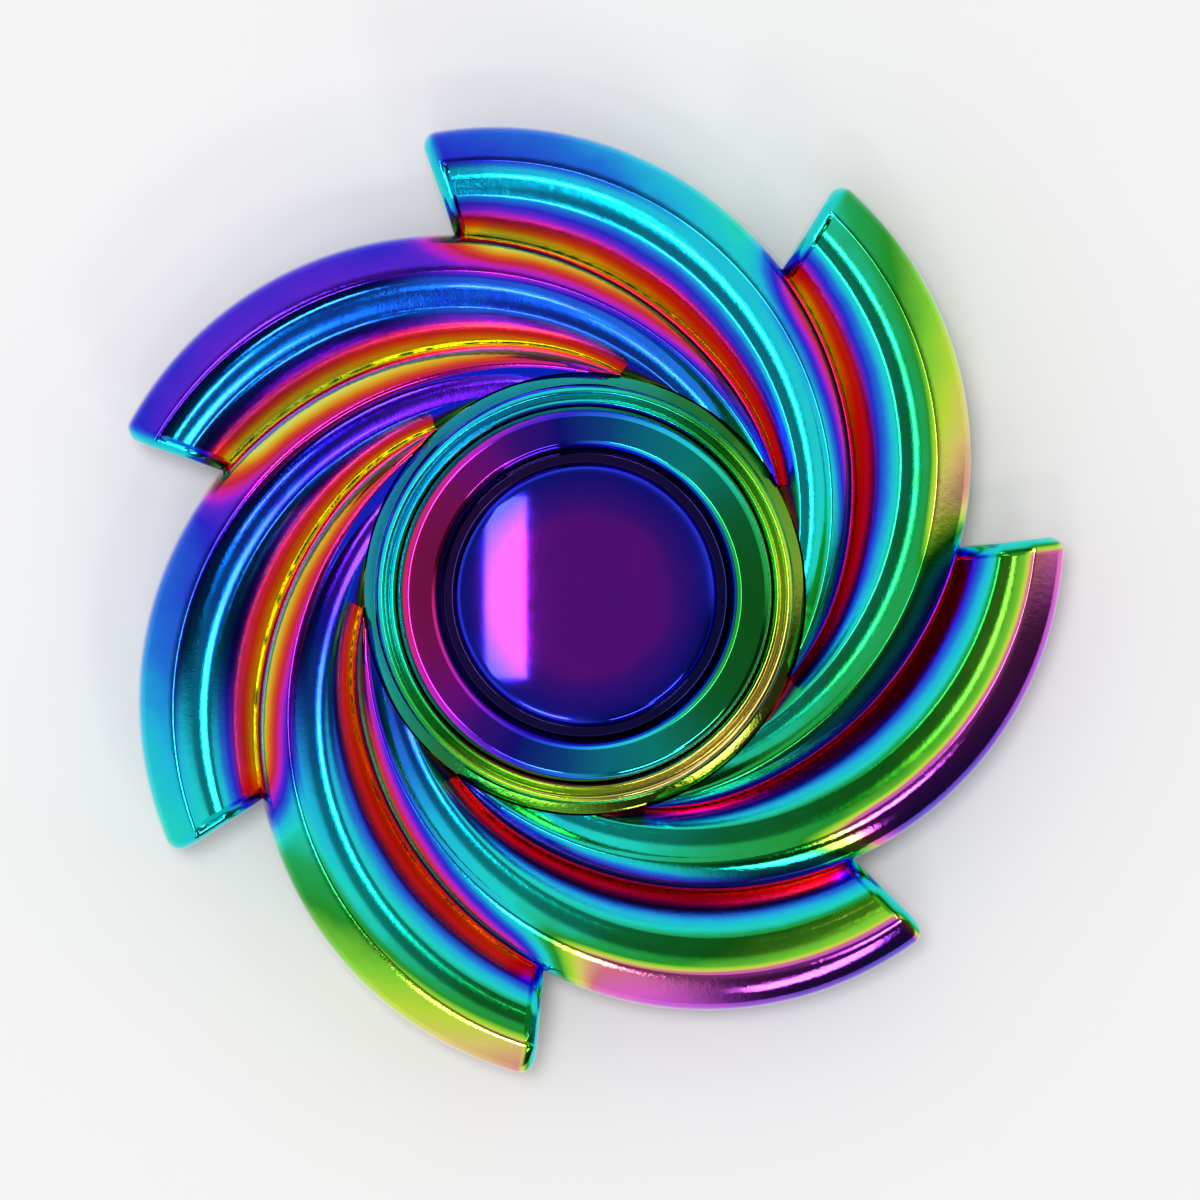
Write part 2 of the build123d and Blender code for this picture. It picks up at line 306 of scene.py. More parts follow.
class NodeSheet:
    """A material's node tree, with short ways to add and link nodes."""

    def __init__(self, name: str) -> None:
        """Start an empty material with this name."""
        self.material = bpy.data.materials.new(name)
        self.material.use_nodes = True
        self.tree = self.material.node_tree
        self.tree.nodes.clear()
        output = self.tree.nodes.new("ShaderNodeOutputMaterial")
        self.shader = self.tree.nodes.new("ShaderNodeBsdfPrincipled")
        self.link(self.shader.outputs["BSDF"], output.inputs["Surface"])

    def link(self, source: bpy.types.NodeSocket, target: bpy.types.NodeSocket) -> None:
        """Link two sockets."""
        self.tree.links.new(source, target)

    def node(self, kind: str, **values: object) -> bpy.types.Node:
        """Add a node.

        Args:
            kind: The node's type.
            **values: Plain properties to set on it.

        Returns:
            The node.
        """
        made = self.tree.nodes.new(kind)
        for key, value in values.items():
            setattr(made, key, value)
        return made

    def math(self, operation: str, first: object, second: object) -> bpy.types.NodeSocket:
        """Add a math node.

        Args:
            operation: What the node works out.
            first: The first value, or the socket that gives it.
            second: The second one.

        Returns:
            The result's socket.
        """
        made = self.node("ShaderNodeMath", operation=operation)
        for socket, value in zip(made.inputs, (first, second)):
            if isinstance(value, bpy.types.NodeSocket):
                self.link(value, socket)
            else:
                socket.default_value = value
        return made.outputs[0]

    def noise(self, scale: float, detail: float = 2.0, roughness: float = 0.5) -> bpy.types.NodeSocket:
        """Add a noise on Object coordinates.

        Args:
            scale: Cells per metre.
            detail: Finer layers added to it.
            roughness: How strong the finer layers are.

        Returns:
            The noise's socket, from 0 to 1.
        """
        place = self.node("ShaderNodeTexCoord")
        made = self.node("ShaderNodeTexNoise")
        made.inputs["Scale"].default_value = scale
        made.inputs["Detail"].default_value = detail
        made.inputs["Roughness"].default_value = roughness
        self.link(place.outputs["Object"], made.inputs["Vector"])
        return made.outputs["Fac"]

    def spread(self, value: bpy.types.NodeSocket, low: float, high: float) -> bpy.types.NodeSocket:
        """Spread a value from 0 to 1 over another range.

        Args:
            value: The socket that gives it.
            low: What 0 becomes.
            high: What 1 becomes.

        Returns:
            The result's socket.
        """
        made = self.node("ShaderNodeMapRange")
        made.inputs["To Min"].default_value = low
        made.inputs["To Max"].default_value = high
        self.link(value, made.inputs["Value"])
        return made.outputs["Result"]

    def bump(self, height: bpy.types.NodeSocket, distance: float, strength: float) -> None:
        """Let a height raise the surface of the shader.

        Args:
            height: The socket that gives the height.
            distance: Metres for a height of 1.
            strength: How much of the bump shows.
        """
        made = self.node("ShaderNodeBump")
        made.inputs["Distance"].default_value = distance
        made.inputs["Strength"].default_value = strength
        self.link(height, made.inputs["Height"])
        self.link(made.outputs["Normal"], self.shader.inputs["Normal"])


# The film's colours as it thickens: gold, red, purple, blue and green, then lime, pink and blue again.
FILM_COLOURS: tuple[tuple[float, str], ...] = (
    (0.00, "BACC85"),
    (0.05, "EBEB5E"),
    (0.10, "EBB513"),
    (0.15, "E65912"),
    (0.20, "D61536"),
    (0.245, "DB1A9B"),
    (0.28, "BE12E0"),
    (0.31, "6B16E0"),
    (0.35, "1616DB"),
    (0.40, "0578EB"),
    (0.44, "05C9F0"),
    (0.49, "05E6D3"),
    (0.54, "06B058"),
    (0.58, "129A1A"),
    (0.63, "89E031"),
    (0.68, "CDEB38"),
    (0.72, "EBD671"),
    (0.78, "E0798A"),
    (0.83, "EB63D4"),
    (0.88, "B542DB"),
    (0.92, "6531CC"),
    (1.00, "2D6FCC"),
)


@dataclass(frozen=True)
class RainbowFilm:
    """Polished metal under an interference film whose thickness, and so its colour, varies.

    The film's thickness is the piece's own "film" attribute, from 0 (thin, gold) to 1 (thick).

    Attributes:
        name: The material's name.
        roughness: The finest and the coarsest polish.
        mottle: How far the film wanders about its thickness.
        peel_scale: Waves of the orange-peel surface per metre.
        peel_depth: Depth of those waves in metres.
        grain_depth: Depth of the fine grain in metres.
        groove_roughness: Roughness added in the unpolished grooves.
        groove_grain: Depth of grain added there.
        painted_shade_colour: What painted shade darkens the film to in the deepest recesses.
        coat_weight: How much of the clear top layer shows.
        coat_index: That layer's refractive index.
        coat_roughness: That layer's roughness.
        mottle_scale: Cells per metre of the wandering.
        polish_scale: Cells per metre of the polish.
    """

    name: str
    roughness: tuple[float, float]
    mottle: float
    peel_scale: float
    peel_depth: float
    grain_depth: float
    groove_roughness: float = 0.0
    groove_grain: float = 0.0
    painted_shade_colour: tuple[float, float, float, float] = (0.002, 0.002, 0.006, 1.0)
    coat_weight: float = 0.6
    coat_index: float = 1.4
    coat_roughness: float = 0.06
    mottle_scale: float = 420.0
    polish_scale: float = 900.0

    def make(self) -> bpy.types.Material:
        """Build the material."""
        sheet = NodeSheet(self.name)
        film = sheet.node("ShaderNodeAttribute", attribute_name=FILM).outputs["Fac"]
        mottle = sheet.spread(sheet.noise(self.mottle_scale, 3.0), -self.mottle, self.mottle)
        order = sheet.math("ADD", film, mottle)
        ramp = sheet.node("ShaderNodeValToRGB")
        stops = ramp.color_ramp.elements
        stops[0].position, stops[0].color = FILM_COLOURS[0][0], linear(FILM_COLOURS[0][1])
        stops[1].position, stops[1].color = FILM_COLOURS[-1][0], linear(FILM_COLOURS[-1][1])
        for position, colour in FILM_COLOURS[1:-1]:
            stops.new(position).color = linear(colour)
        sheet.link(order, ramp.inputs["Fac"])
        # Painted shade: the shade attribute mixes the film towards near black in seams, moats and valleys.
        painted_shade_amount = sheet.node("ShaderNodeAttribute", attribute_name=SHADE).outputs["Fac"]
        dim = sheet.node("ShaderNodeMix", data_type="RGBA")
        dim.inputs["B"].default_value = self.painted_shade_colour
        sheet.link(painted_shade_amount, dim.inputs["Factor"])
        sheet.link(ramp.outputs["Color"], dim.inputs["A"])
        sheet.link(dim.outputs["Result"], sheet.shader.inputs["Base Color"])
        sheet.shader.inputs["Metallic"].default_value = 1.0
        sheet.shader.inputs["Coat Weight"].default_value = self.coat_weight
        sheet.shader.inputs["Coat IOR"].default_value = self.coat_index
        sheet.shader.inputs["Coat Roughness"].default_value = self.coat_roughness
        coarse = sheet.node("ShaderNodeAttribute", attribute_name=GRAIN).outputs["Fac"]
        polish = sheet.spread(sheet.noise(self.polish_scale, 4.0), *self.roughness)
        rough = sheet.math("ADD", polish, sheet.math("MULTIPLY", coarse, self.groove_roughness))
        sheet.link(rough, sheet.shader.inputs["Roughness"])
        peel = sheet.math("MULTIPLY", sheet.noise(self.peel_scale, 2.0), self.peel_depth)
        depth = sheet.math("MULTIPLY_ADD", coarse, self.groove_grain)
        depth.node.inputs[2].default_value = self.grain_depth
        grain = sheet.math("MULTIPLY", sheet.noise(self.peel_scale * 4.0, 3.0, 0.7), depth)
        sheet.bump(sheet.math("ADD", peel, grain), 1.0, 1.0)
        return sheet.material


@dataclass(frozen=True)
class Steel:
    """Ground or stamped bearing steel, with turning marks round the spin axis.

    Attributes:
        name: The material's name.
        colour: The steel's display colour.
        roughness: The finest and the coarsest polish.
        mark_scale: Turning marks per metre.
        mark_depth: Depth of the marks in metres.
        mark_tone: How dark the marks are, as shares of the colour.
        mark_strength: How much of the marks' depth shows.
        polish_scale: Cells per metre of the polish.
    """

    name: str
    colour: str
    roughness: tuple[float, float]
    mark_scale: float
    mark_depth: float
    mark_tone: Triple = (0.72, 0.72, 0.74)
    mark_strength: float = 0.6
    polish_scale: float = 1500.0

    def make(self) -> bpy.types.Material:
        """Build the material."""
        sheet = NodeSheet(self.name)
        place = sheet.node("ShaderNodeTexCoord")
        parts = sheet.node("ShaderNodeSeparateXYZ")
        sheet.link(place.outputs["Object"], parts.inputs["Vector"])
        across = sheet.math("MULTIPLY", parts.outputs["X"], parts.outputs["X"])
        along = sheet.math("MULTIPLY", parts.outputs["Y"], parts.outputs["Y"])
        radius = sheet.math("POWER", sheet.math("ADD", across, along), 0.5)
        rings = sheet.node("ShaderNodeTexNoise", noise_dimensions="2D")
        rings.inputs["Scale"].default_value = self.mark_scale
        rings.inputs["Detail"].default_value = 4.0
        where = sheet.node("ShaderNodeCombineXYZ")
        sheet.link(radius, where.inputs["X"])
        sheet.link(parts.outputs["Z"], where.inputs["Y"])
        sheet.link(where.outputs["Vector"], rings.inputs["Vector"])
        ramp = sheet.node("ShaderNodeValToRGB")
        light = linear(self.colour)
        dark = [channel * tone for channel, tone in zip(light, self.mark_tone)]
        ramp.color_ramp.elements[0].color = (*dark, 1.0)
        ramp.color_ramp.elements[1].color = light
        sheet.link(rings.outputs["Fac"], ramp.inputs["Fac"])
        sheet.link(ramp.outputs["Color"], sheet.shader.inputs["Base Color"])
        sheet.shader.inputs["Metallic"].default_value = 1.0
        polish = sheet.spread(sheet.noise(self.polish_scale, 3.0), *self.roughness)
        sheet.link(polish, sheet.shader.inputs["Roughness"])
        sheet.bump(rings.outputs["Fac"], self.mark_depth, self.mark_strength)
        return sheet.material


CAST_FILM = RainbowFilm(
    name="rainbow_film_on_casting",
    roughness=(0.03, 0.09),
    mottle=0.016,
    peel_scale=2600.0,
    peel_depth=6e-6,
    grain_depth=1.6e-6,
    groove_roughness=0.05,
    groove_grain=5e-6,
)
TURNED_FILM = RainbowFilm(
    name="rainbow_film_on_turned_cap",
    roughness=(0.04, 0.09),
    mottle=0.006,
    peel_scale=500.0,
    peel_depth=2e-6,
    grain_depth=2e-7,
)
RACE_STEEL = Steel("ground_race_steel", "C4C6C8", (0.12, 0.22), 9000.0, 10e-6)
BALL_STEEL = Steel("polished_ball_steel", "D6D8DA", (0.04, 0.09), 4000.0, 2e-6)
CAGE_STEEL = Steel("stamped_cage_steel", "A8A69E", (0.25, 0.40), 5000.0, 10e-6)
SHIELD_STEEL = Steel("pressed_shield_steel", "B4B6B8", (0.20, 0.32), 7000.0, 10e-6)


def dress(piece: bpy.types.Object, material: bpy.types.Material) -> None:
    """Give a piece one material all over."""
    piece.data.materials.clear()
    piece.data.materials.append(material)


# ---------------------------------------------------------------- film thickness
@dataclass(frozen=True)
class Swing:
    """A film that is thicker on one side of the part.

    Attributes:
        mean: The film half way between the thick and the thin side.
        swing: How much more there is on the thick side.
        turn: Degrees by which its thick side lies clockwise of the pattern's own.
    """

    mean: float
    swing: float
    turn: float = 0.0


@dataclass(frozen=True)
class FilmPattern:
    """Where the coating came out thick or thin, as functions of place on the part.

    Radii are in millimetres, angles in degrees anticlockwise from +X, and films from 0 to 1.
    """

    thick_side: float = -35.0
    free_film: Swing = Swing(0.645, 0.305, 6.0)
    free_bow: float = 0.05
    free_thinning: float = 0.02
    free_thinning_swing: float = 0.01
    seam_film: Swing = Swing(0.07, 0.09)
    deep_seam_gain: float = 0.06
    deep_from: float = 55.0
    deep_to: float = 85.0
    crest_film: Swing = Swing(0.40, 0.165)
    seam_start: float = 0.08
    deep_seam_start: float = 0.17
    seam_share: float = 0.75
    seam_bend: float = 0.9
    seam_bend_swing: float = 0.45
    notch_start: float = 42.0
    notch_end: float = 58.0
    floor_film: Swing = Swing(0.415, 0.105)
    floor_slope: float = 0.0085
    floor_radius: float = 14.5
    flank_film: Swing = Swing(0.502, 0.067, 20.0)
    flank_fall: float = 0.36
    flank_foot_fall: float = 0.14
    inboard_fall: float = 0.15
    inboard_drop: float = 0.048
    flank_start: float = 0.15
    rim_film: Swing = Swing(0.58, 0.145, 10.0)
    rim_spread: float = 0.02
    valley_film: Swing = Swing(0.56, 0.13)
    moat_film: Swing = Swing(0.33, 0.02)
    land_film: Swing = Swing(0.40, 0.17, -27.0)
    dome_film: float = 0.295
    dome_gain: float = 0.06
    dome_share: float = 0.55
    end_film: float = 0.47

    def side(self, angle: float, turn: float = 0.0) -> float:
        """1 on the thickly coated side, -1 opposite it."""
        return math.cos(math.radians(angle - self.thick_side + turn))

    def at(self, film: Swing, angle: float) -> float:
        """A swinging film at an angle round the part."""
        return film.mean + film.swing * self.side(angle, film.turn)

    def band(self, angle: float, own: float, gap: float, share: float) -> float:
        """Film on a blade's broad outer band.

        Args:
            angle: Place round the part.
            own: Angle back from the blade's end face.
            gap: Distance in from the band's outer edge.
            share: The same as a share of the band's width.

        Returns:
            The film.
        """
        swing = self.side(angle, self.free_film.turn)
        thinning = gap * (self.free_thinning + self.free_thinning_swing * swing)
        free = self.at(self.free_film, angle) - self.free_bow * (1 - swing**2) - thinning
        deep = smooth_step(own, self.deep_from, self.deep_to)
        seam = self.at(self.seam_film, angle) + self.deep_seam_gain * deep
        crest = self.at(self.crest_film, angle)
        start = self.seam_start + self.deep_seam_start * deep
        in_from_seam = min(1.0, max(0.0, (share - start) / self.seam_share))
        bend = self.seam_bend - self.seam_bend_swing * self.side(angle)
        tucked = seam + (crest - seam) * in_from_seam**bend
        return free + (tucked - free) * smooth_step(own, self.notch_start, self.notch_end)

    def floor(self, radius: float, angle: float) -> float:
        """Film on the groove floor inside the ridge."""
        return self.at(self.floor_film, angle) + self.floor_slope * (radius - self.floor_radius)

    def flank(self, radius: float, angle: float, own: float, down: float) -> float:
        """Film on the flank that falls to the next blade.

        Args:
            radius: Distance from the spin axis.
            angle: Place round the part.
            own: Angle back from the blade's end face.
            down: Place on the flank, from its top (0) to the seam (1).

        Returns:
            The film.
        """
        top = self.floor(radius, angle)
        fall = self.flank_fall * down + self.flank_foot_fall * down**4
        inboard = own / 100 * (self.inboard_fall * down - self.inboard_drop)
        steep = self.at(self.flank_film, angle) - fall + inboard
        return top + (steep - top) * smooth_step(down, 0.0, self.flank_start)

    def rim(self, angle: float, outward: float) -> float:
        """Film on the two beads of the hub's rim, from the inner edge (outward -1) to the outer (1)."""
        return self.at(self.rim_film, angle) + self.rim_spread * outward

    def valley(self, angle: float) -> float:
        """Film in the valley round the rim and on the hub inside it."""
        return self.at(self.valley_film, angle)

    def cap_moat(self, angle: float) -> float:
        """Film in the moat round a cap's button."""
        return self.at(self.moat_film, angle)

    def cap_land(self, angle: float) -> float:
        """Film on the ring-shaped land of a cap."""
        return self.at(self.land_film, angle)

    def cap_dome(self, radius: float, edge: float) -> float:
        """Film on the button of a cap, thicker towards its edge."""
        return self.dome_film + self.dome_gain * smooth_step(radius, self.dome_share * edge, edge)


# ---------------------------------------------------------------- blade body
@dataclass
class BladeBody:
    """The cast blade body: seven swirled blades round a hub with a two-bead rim.

    Sizes are in millimetres. An arc in plan is (centre x, centre y, radius), with the blade's end face
    on +X. The outline of the outer side and band is (inset in shoulders, inset in bands, height in
    crests). The root fall is where the valley drops away under the blades, from its outer edge.
    """

    blades: int = 7
    first_tip_angle: float = 6.9
    tip_ridge_height: float = 2.9
    root_ridge_height: float = 4.0
    sweep: float = 130.0
    edge_arc: Triple = (8.07, 2.84, 22.36)
    ridge_arc: Triple = (7.22, 3.86, 21.30)
    step_arc: Triple = (6.86, 4.45, 19.90)
    root_tuck: float = 0.65
    tuck_from: float = 100.0
    tuck_to: float = 133.0
    outline: tuple[Triple, ...] = (
        (0.0, 0.0, 0.0),
        (0.10, 0.0, 0.36),
        (0.45, 0.0, 0.68),
        (1.0, 0.12, 0.865),
        (0.40, 0.60, 0.955),
    )
    shoulder: float = 0.75
    shoulder_limit: float = 0.42
    crest_round: float = 0.15
    crest_dip: float = 0.02
    crest_slope: float = 0.04
    wall_width: float = 0.38
    wall_drop: float = 0.46
    floor_sag: float = 0.13
    floor_fall: float = 0.18
    flank_roll: float = 0.80
    roll_share: float = 0.25
    end_band: tuple[float, float] = (0.74, 1.02)
    end_lip: float = 0.05
    near_columns: tuple[float, ...] = (0.0, 0.04, 0.15, 0.32, 0.55, 0.74, 0.81, 0.88, 0.95, 1.02, 1.10)
    valley_tilt: float = 60.0
    root_flank: float = 0.9
    end_round: float = 0.65
    tip_corner: float = 1.10
    valley_radius: float = 13.70
    valley_height: float = 3.20
    rim_outer: float = 12.90
    rim_inner: float = 11.56
    rim_height: float = 4.75
    bead_foot: float = 4.40
    groove_radius: float = 12.20
    groove_depth: float = 0.20
    groove_width: float = 0.16
    rim_foot_round: float = 0.12
    root_fall: tuple[Point, ...] = ((-0.30, 0.0), (-0.12, -0.10), (0.0, -0.45), (0.05, -1.2))
    web_height: float = 2.831
    seat_radius: float = 6.35
    lip_radius: float = 5.95
    seat_floor: float = -2.381
    columns: int = 40
    zone_rows: tuple[int, ...] = (14, 3, 2, 7, 12)
    side_rows: int = 12
    groove_grain: float = 1.0
    band_grain: float = 0.2
    hub_grain: float = 0.15
    # Painted shade: darkening at the seams, at the flanks' roots by the hub, and in the valley outside the
    # rim.
    seam_shade: float = 0.6
    seam_shade_from: float = 0.90
    root_shade: float = 0.85
    root_shade_angles: tuple[float, float] = (92.0, 112.0)
    valley_shade: float = 0.5
    floor_film_places: tuple[float, float] = (1.5, 3.3)
    film: FilmPattern = field(default_factory=FilmPattern)

    @property
    def pitch(self) -> float:
        """Angle between blades."""
        return 360.0 / self.blades

    def reach(self, arc: Triple, angle: float) -> float:
        """Distance from the spin axis to an arc in plan.

        Args:
            arc: The arc.
            angle: Angle of the ray, from the blade's end face.

        Returns:
            The distance along the ray.
        """
        x, y, radius = arc
        along = x * math.cos(math.radians(angle)) + y * math.sin(math.radians(angle))
        return along + math.sqrt(radius**2 - (x * x + y * y - along**2))

    def edge(self, angle: float) -> float:
        """Radius of a blade's outer edge at an angle from its end face."""
        tuck = max(0.0, -angle - self.tuck_from) / (self.tuck_to - self.tuck_from)
        return self.reach(self.edge_arc, angle) - self.root_tuck * tuck**3

    @staticmethod
    def inset(distance: float, rounding: float) -> float:
        """How far a quarter-round corner draws the surface in, this far from the end face."""
        if distance >= rounding:
            return 0.0
        return rounding - math.sqrt(rounding**2 - (rounding - distance) ** 2)

    def path(self, angle: float, distance: float, s: np.ndarray) -> np.ndarray:
        """Points (radius, height) of a blade's upper cross-section.

        Args:
            angle: Angle from the blade's end face, negative along the blade.
            distance: Distance from the end face.
            s: Places along the section: 0 to 1 the outer side and band, to 2 the crest, to 3 the
                wall inside it, to 4 the groove floor, to 5 the flank and to 6 its buried foot.

        Returns:
            One row for each place.
        """
        ridge = self.reach(self.ridge_arc, angle)
        edge = self.edge(angle) - self.inset(distance, self.tip_corner)
        step = self.reach(self.step_arc, angle)
        seam = min(self.edge(max(angle - self.pitch, -self.tuck_to)), step - self.root_flank)
        rise = self.root_ridge_height - self.tip_ridge_height
        crest = self.tip_ridge_height + rise * -angle / self.sweep
        squash = 1 - self.inset(distance, self.end_round) / crest
        band = edge - ridge
        shoulder = min(self.shoulder, self.shoulder_limit * band)
        foot = crest - self.wall_drop - self.crest_round / 2
        tilt = math.radians(self.valley_tilt)
        flank = (step - seam) / math.sin(tilt)
        sides = [(edge - a * shoulder - b * band, height * crest) for a, b, height in self.outline]
        outside = np.array([*sides, (ridge + self.crest_round, crest - self.crest_dip)])
        curve = clamped_spline(outside, np.array([0.0, 1.0]), np.array([-1.0, self.crest_slope]))
        crest_top = (ridge, crest - self.crest_dip / 2)
        crest_in = (ridge - self.crest_round, crest - self.crest_round / 2)
        wall_foot = (ridge - self.crest_round - self.wall_width, foot + self.floor_fall)
        floor_low = ((wall_foot[0] + step) / 2, foot + self.floor_fall / 2 - self.floor_sag)
        sunk = foot - flank * (1 - math.cos(tilt))
        points = np.zeros((len(s), 2))
        for zone in range(6):
            chosen = (s >= zone) & (s <= zone + 1)
            t = s[chosen] - zone
            if zone == 0:
                points[chosen] = curve(t)
            elif zone == 1:
                points[chosen] = arc_through(tuple(outside[-1]), crest_top, crest_in, t)
            elif zone == 2:
                points[chosen] = np.array(crest_in) + (np.array(wall_foot) - crest_in) * t[:, None]
            elif zone == 3:
                points[chosen] = arc_through(wall_foot, floor_low, (step, foot), t)
            elif zone == 4:
                turn = tilt * t
                bow = np.column_stack([step - flank * np.sin(turn), foot - flank * (1 - np.cos(turn))])
                straight = np.column_stack([step + (seam - step) * t, foot + (sunk - foot) * t])
                roll = self.flank_roll * np.minimum(1, t / self.roll_share)
                points[chosen] = bow + (straight - bow) * roll[:, None]
            else:
                points[chosen] = np.column_stack([seam - t * sunk / math.tan(tilt), sunk * (1 - t)])
        # The end face's rim closes the groove: everything inside the ridge rises to it.
        lift = 1 - smooth_step(distance, *self.end_band)
        inside = (points[:, 0] < ridge) & (s < 5)
        fade = np.clip(5 - s[inside], 0, 1)
        points[inside, 1] += lift * fade * (crest - self.end_lip - points[inside, 1])
        points[:, 1] *= squash
        return points

    def seam(self, angle: float, distance: float) -> tuple[float, float, float]:
        """Where a blade's flank meets the next blade.

        Args:
            angle: Angle from this blade's end face.
            distance: Distance from this blade's end face.

        Returns:
            The place on this blade's section, the place on the next blade's, and the radius.
        """
        mine = np.linspace(4.0, 6.0, 400)
        flank = self.path(angle, distance, mine)[::-1]
        theirs = np.linspace(0.0, 1.0, 400)
        outside = self.path(angle - self.pitch, math.inf, theirs)[::-1]
        low = flank[0, 0]
        high = flank[-1, 0]
        for _ in range(50):
            middle = (low + high) / 2
            over = np.interp(middle, outside[:, 0], outside[:, 1], right=-1.0)
            under = np.interp(middle, flank[:, 0], flank[:, 1])
            if over > under:
                low = middle
            else:
                high = middle
        place = float(np.interp(low, flank[:, 0], mine[::-1]))
        height = float(np.interp(low, flank[:, 0], flank[:, 1]))
        other = float(np.interp(height, outside[::-1, 1], theirs))
        return place, other, low

    def sector(self) -> list[tuple[float, float]]:
        """Columns of one pitch as (angle from the tip, distance from the end face)."""
        tip = self.edge(0)
        near = [(-math.degrees(step / tip), step) for step in self.near_columns]
        gap = (self.pitch + near[-1][0]) / self.columns
        far = [(near[-1][0] - gap * i, math.inf) for i in range(1, self.columns + 1)]
        return near + far

    def rows(self, start: float, end: float) -> np.ndarray:
        """Places along the section from start to end, with a fixed number of rows in each zone."""
        marks = [start, 1.0, 2.0, 3.0, 4.0, 6.0]
        places = [start]
        for zone, count in enumerate(self.zone_rows):
            low = min(max(marks[zone], start), end)
            high = min(marks[zone + 1], end)
            places += list(low + (high - low) * np.arange(1, count + 1) / count)
        return np.array(places)

    def film_at(self, row: np.ndarray, turn: float) -> float:
        """Film at a place on a blade's section.

        Args:
            row: The place, as one row of blade_sheets.
            turn: Angle of the blade's end face.

        Returns:
            The film.
        """
        own, radius, _, place, distance, gap, share, down = row
        polar = own + turn
        if place <= 4.0:
            band = self.film.band(polar, -own, gap, share)
            on_floor = smooth_step(place, *self.floor_film_places)
            film = band + (self.film.floor(radius, polar) - band) * on_floor
        else:
            film = self.film.flank(radius, polar, -own, down)
        return film + (self.film.end_film - film) * (1 - smooth_step(distance, 0.1, self.tip_corner))

    def shade(self, row: np.ndarray) -> float:
        """Painted shade at a place: darker in the seams, and on the flanks where they run out at the hub.
        """
        own, _, _, place, _, _, _, down = row
        if place <= 4.0:
            return 0.0
        at_seam = self.seam_shade * smooth_step(down, self.seam_shade_from, 1.0)
        at_root = self.root_shade * smooth_step(-own, *self.root_shade_angles)
        return max(at_seam, at_root)

    def section_rows(
        self, own: float, far: float, places: np.ndarray, outer_edge: float, down: np.ndarray
    ) -> np.ndarray:
        """Rows for one column of a sheet.

        Args:
            own: Angle from the blade's end face.
            far: Distance from the end face.
            places: Places along the section.
            outer_edge: Radius where the blade comes out of the one before it.
            down: Share of the flank for each place.

        Returns:
            One row for each place, as blade_sheets describes them.
        """
        points = self.path(own, far, places)
        gap = outer_edge - points[:, 0]
        share = gap / (outer_edge - self.reach(self.ridge_arc, own))
        owns = np.full(len(places), own)
        fars = np.full(len(places), far)
        return np.column_stack([owns, points, places, fars, gap, share, down])

    def blade_sheets(self) -> list[np.ndarray]:
        """Grids of section places for one blade.

        Each place is (angle from the tip, radius, height, place along the section, distance from the
        end face, gap from the outer edge, that gap as a share of the band, share of the flank).

        Returns:
            Two grids: the outer side below the level of the tip's seam, and the whole top above it.
        """
        columns = self.sector()
        seams = [self.seam(angle, distance) for angle, distance in columns]
        side_end = seams[0][1]
        side, top = [], []
        for level in range(3):
            for index, (offset, distance) in enumerate(columns):
                if level and index == 0:
                    continue
                own = offset - level * self.pitch
                far = math.inf if level else distance
                start = seams[index][1] if level else side_end
                start_radius = seams[index][2] if level else math.inf
                if level == 2:
                    start, start_radius = self.seam(offset - self.pitch, math.inf)[1:]
                end, _, end_radius = self.seam(own, far)
                if start_radius <= self.valley_radius:
                    break
                fine = np.linspace(0.0, 6.0, 1201)
                reach = self.path(own, far, fine)
                outer = fine[reach[:, 0] >= self.valley_radius]
                clip = float(outer[-1]) if len(outer) else 0.0
                end = min(end, clip)
                start = min(start, end)
                places = self.rows(start, end)
                flank_end = end if end > 4.2 else 5.0
                down = np.clip((places - 4.0) / (flank_end - 4.0), 0, 1)
                top.append(self.section_rows(own, far, places, min(start_radius, self.edge(own)), down))
                if level == 0:
                    low = np.linspace(0.0, side_end, self.side_rows + 1)
                    side.append(self.section_rows(own, far, low, self.edge(own), np.zeros(len(low))))
        return [np.array(side), np.array(top)]

    def lay_sheet(self, sheet: np.ndarray, turn: float) -> bpy.types.Object:
        """Shape a grid primitive into one blade surface.

        Args:
            sheet: Columns of rows of section places, as blade_sheets gives them.
            turn: Angle of the blade's end face.

        Returns:
            The surface, with its film.
        """
        columns, rows = sheet.shape[:2]
        start_fresh()
        bpy.ops.mesh.primitive_grid_add(x_subdivisions=rows - 1, y_subdivisions=columns - 1, size=0.06)
        piece = bpy.context.object
        flat = sheet.reshape(-1, sheet.shape[2])
        polar = np.radians(flat[:, 0] + turn)
        places = np.column_stack([flat[:, 1] * np.cos(polar), flat[:, 1] * np.sin(polar), flat[:, 2]]) * MM
        piece.data.vertices.foreach_set("co", places.ravel())
        write_layer(piece, FILM, [self.film_at(row, turn) for row in flat])
        in_groove = (flat[:, 3] > 3.0) & (flat[:, 3] <= 5.0)
        write_layer(piece, GRAIN, np.where(in_groove, self.groove_grain, self.band_grain))
        # Painted shade in the seams and at the flanks' roots.
        write_layer(piece, SHADE, [self.shade(row) for row in flat])
        return piece

    def swirl(self) -> bpy.types.Object:
        """All blades above the mid plane, mirrored below it, with their end faces and hub wall."""
        sheets = self.blade_sheets()
        pieces = []
        for blade in range(self.blades):
            turn = self.first_tip_angle + blade * self.pitch
            pieces += [self.lay_sheet(sheet, turn) for sheet in sheets]
        body = join(pieces, "blade_swirl")
        in_edit_mode(body, lambda: bpy.ops.mesh.remove_doubles(threshold=WELD))
        self.drop_hub_wall(body)
        mirror = body.modifiers.new("below", "MIRROR")
        mirror.use_axis = (False, False, True)
        mirror.merge_threshold = WELD
        make_active(body)
        bpy.ops.object.modifier_apply(modifier=mirror.name)
        in_edit_mode(body, lambda: bpy.ops.mesh.fill_holes(sides=0))
        return body

